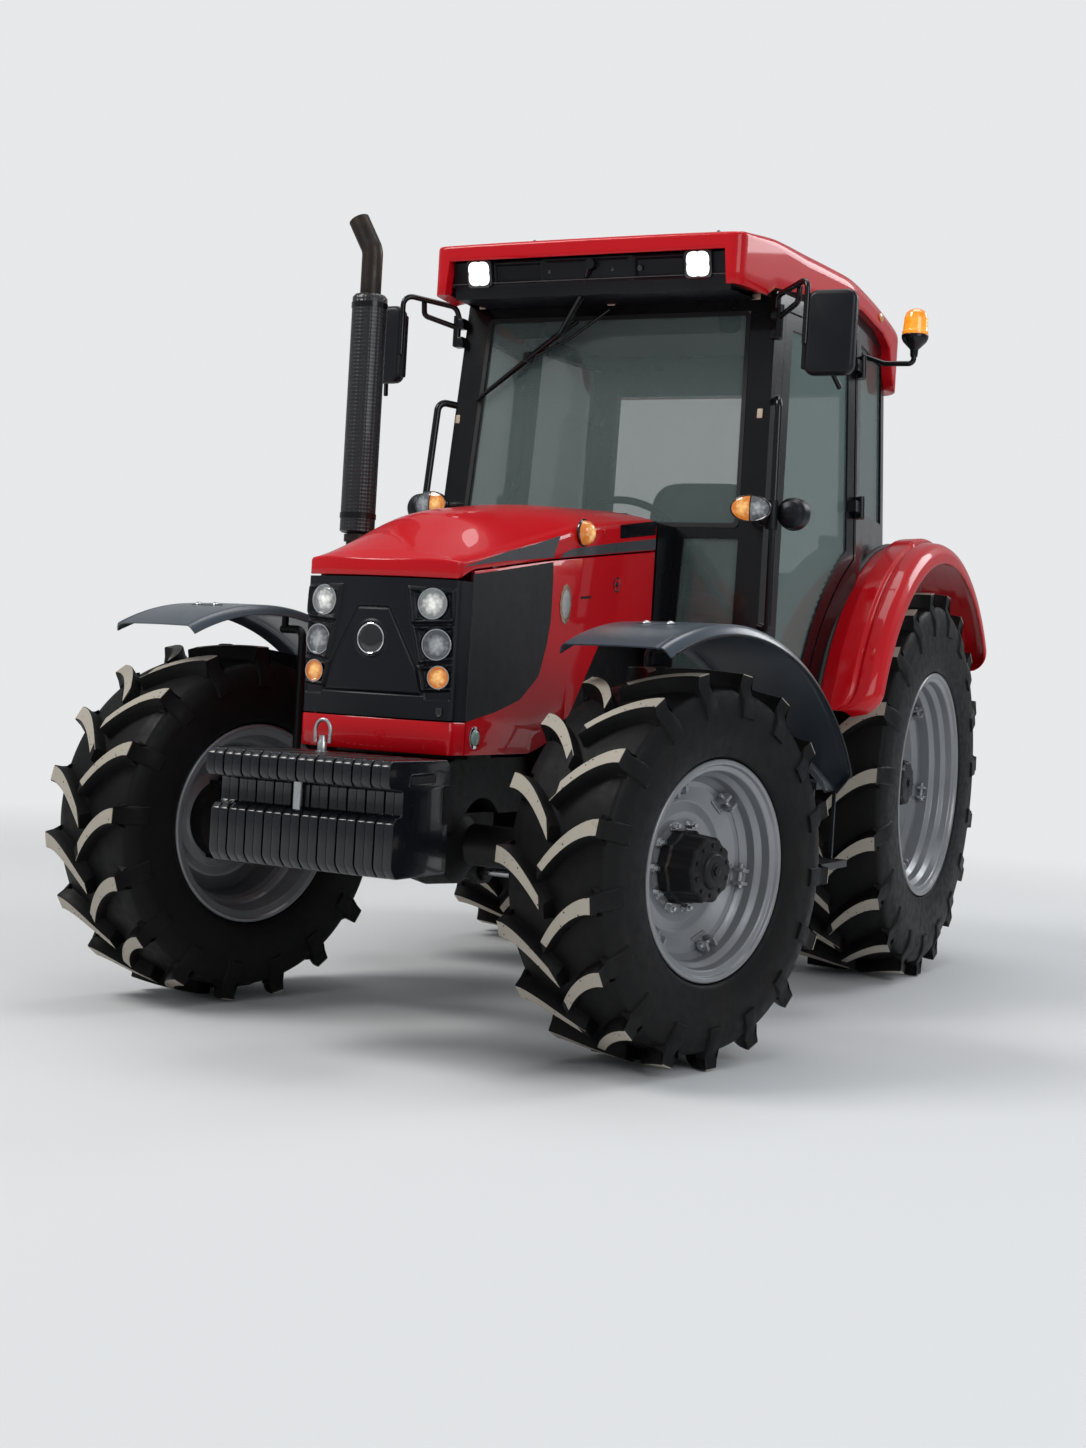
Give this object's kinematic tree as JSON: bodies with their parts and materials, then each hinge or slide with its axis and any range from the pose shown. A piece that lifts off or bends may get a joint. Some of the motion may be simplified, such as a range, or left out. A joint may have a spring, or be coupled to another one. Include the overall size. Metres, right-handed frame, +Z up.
{
  "type": "farm tractor",
  "caption": "Four-wheel-drive farm tractor with a glazed cab, tilting hood, stacked front weights, steered lugged front wheels and a rear three-point lift.",
  "frame": {"origin": "on the floor under the middle of the tractor's bounding box", "axes": "+Z up, +Y towards the rear, +X towards the tractor's left side"},
  "size_m": [2.3215, 4.1899, 2.8006],
  "materials": {
    "red_paint": "gloss",
    "black_plastic": "satin",
    "black_frame": "satin",
    "grey_plastic": "satin",
    "black_iron": "satin",
    "steel": "satin",
    "tyre": "matt",
    "silver_paint": "satin",
    "glass": "clear",
    "lamp": "clear",
    "amber": "gloss",
    "seat_cloth": "matt"
  },
  "bodies": {
    "chassis": {"engine_block": "black_iron", "front_support": "black_iron", "front_axle_beam": "black_iron", "front_weights": "black_iron", "transmission": "black_iron", "rear_axle_housing": "black_iron", "step_tanks": "black_iron", "side_panels": "red_paint", "radiator_block": "black_iron", "exhaust_stack": "black_plastic", "cowl": "black_plastic", "cab_frame": "black_frame", "cab_glass": "glass", "cab_floor": "black_frame", "roof_cap": "red_paint", "roof_fascia": "black_plastic", "rear_fenders": "red_paint", "seat_base": "black_iron", "seat_cushion": "seat_cloth", "seat_backrest": "seat_cloth", "side_console": "black_plastic", "dashboard": "black_plastic", "grab_rails": "black_plastic", "mirrors": "black_plastic", "beacon": "amber", "cab_lamps": "lamp", "drawbar": "black_iron"},
    "hood": {"hood_lid": "red_paint", "nose_moulding": "black_plastic", "head_lamps": "lamp"},
    "door_left": {"door_left": "black_frame", "door_glass_left": "glass"},
    "door_right": {"door_right": "black_frame", "door_glass_right": "glass"},
    "knuckle_left": {"knuckle_left": "black_iron", "front_fender_left": "grey_plastic"},
    "knuckle_right": {"knuckle_right": "black_iron", "front_fender_right": "grey_plastic"},
    "front_wheel_left": {"front_rim_left": "silver_paint", "front_tyre_left": "tyre"},
    "front_wheel_right": {"front_rim_right": "silver_paint", "front_tyre_right": "tyre"},
    "rear_wheel_left": {"rear_rim_left": "silver_paint", "rear_tyre_left": "tyre"},
    "rear_wheel_right": {"rear_rim_right": "silver_paint", "rear_tyre_right": "tyre"},
    "steering_rod": {"steering_rod": "steel"},
    "tie_rod_left": {"tie_rod_left": "steel"},
    "tie_rod_right": {"tie_rod_right": "steel"},
    "steering_wheel": {"steering_wheel": "black_plastic"},
    "lower_links": {"lower_links": "black_iron"},
    "lift_arms": {"lift_arms": "black_iron"},
    "lift_rods": {"lift_rods": "steel"},
    "top_link": {"top_link": "steel"},
    "pto_shaft": {"pto_shaft": "steel"}
  },
  "joints": [
    {"name": "steer_left", "type": "hinge", "parent": "chassis", "child": "knuckle_left", "pos_m": [0.775, -1.275, 0.592], "axis": [0, 0, 1], "range_deg": [-20.5, 51.5]},
    {"name": "steer_right", "type": "hinge", "parent": "chassis", "child": "knuckle_right", "pos_m": [-0.775, -1.275, 0.592], "axis": [0, 0, 1], "range_deg": [-20.5, 51.5]},
    {"name": "steering_rod_slide", "type": "slide", "parent": "chassis", "child": "steering_rod", "axis": [1, 0, 0], "range_m": [-0.13, 0.053]},
    {"name": "tie_rod_turn_left", "type": "hinge", "parent": "knuckle_left", "child": "tie_rod_left", "pos_m": [0.78618, -1.12244, 0.4494], "axis": [0, 0, 1], "range_deg": [-51.6, 20.6]},
    {"name": "tie_rod_turn_right", "type": "hinge", "parent": "knuckle_right", "child": "tie_rod_right", "pos_m": [-0.70601, -1.13847, 0.4494], "axis": [0, 0, 1], "range_deg": [-51.6, 20.6]},
    {"name": "roll_front_left", "type": "hinge", "parent": "knuckle_left", "child": "front_wheel_left", "pos_m": [0.775, -1.275, 0.592], "axis": [0.9636, -0.2672, 0], "continuous": true},
    {"name": "roll_front_right", "type": "hinge", "parent": "knuckle_right", "child": "front_wheel_right", "pos_m": [-0.775, -1.275, 0.592], "axis": [0.9636, -0.2672, 0], "continuous": true},
    {"name": "roll_rear_left", "type": "hinge", "parent": "chassis", "child": "rear_wheel_left", "pos_m": [0.744, 1.145, 0.79], "axis": [1, 0, 0], "continuous": true},
    {"name": "roll_rear_right", "type": "hinge", "parent": "chassis", "child": "rear_wheel_right", "pos_m": [-0.744, 1.145, 0.79], "axis": [1, 0, 0], "continuous": true},
    {"name": "hood_tilt", "type": "hinge", "parent": "chassis", "child": "hood", "pos_m": [0, -0.372, 1.722], "axis": [-1, 0, 0], "range_deg": [0, 55]},
    {"name": "door_left_swing", "type": "hinge", "parent": "chassis", "child": "door_left", "pos_m": [0.79966, 0.553, 1.38], "axis": [-0.0499, 0, 0.9988], "range_deg": [0, 70]},
    {"name": "door_right_swing", "type": "hinge", "parent": "chassis", "child": "door_right", "pos_m": [-0.79966, 0.553, 1.38], "axis": [-0.0499, 0, -0.9988], "range_deg": [0, 70]},
    {"name": "lift_raise", "type": "hinge", "parent": "chassis", "child": "lift_arms", "pos_m": [0, 1.205, 1.06], "axis": [1, 0, 0], "range_deg": [-27, 34]},
    {"name": "lower_links_swing", "type": "hinge", "parent": "chassis", "child": "lower_links", "pos_m": [0, 1.255, 0.56], "axis": [1, 0, 0], "range_deg": [-20.1, 25.3]},
    {"name": "lift_rods_swing", "type": "hinge", "parent": "lift_arms", "child": "lift_rods", "pos_m": [0, 1.545, 1.03], "axis": [1, 0, 0], "range_deg": [-35.2, 27.9]},
    {"name": "top_link_swing", "type": "hinge", "parent": "chassis", "child": "top_link", "pos_m": [0, 1.415, 0.86], "axis": [1, 0, 0], "range_deg": [-20, 60]},
    {"name": "pto_turn", "type": "hinge", "parent": "chassis", "child": "pto_shaft", "pos_m": [0, 1.375, 0.69], "axis": [0, 1, 0], "continuous": true},
    {"name": "steering_wheel_turn", "type": "hinge", "parent": "chassis", "child": "steering_wheel", "pos_m": [0, 0.157, 1.7], "axis": [0, 0.6157, 0.788], "continuous": true}
  ],
  "couplings": [
    {"joint": "steer_right", "follows": "steer_left", "ratio": 1},
    {"joint": "steering_rod_slide", "follows": "steer_left", "m_per_rad": -0.1425},
    {"joint": "tie_rod_turn_left", "follows": "steer_left", "ratio": -1},
    {"joint": "tie_rod_turn_right", "follows": "steer_left", "ratio": -1},
    {"joint": "lower_links_swing", "follows": "lift_raise", "ratio": 0.74},
    {"joint": "lift_rods_swing", "follows": "lift_raise", "ratio": -1.03}
  ]
}
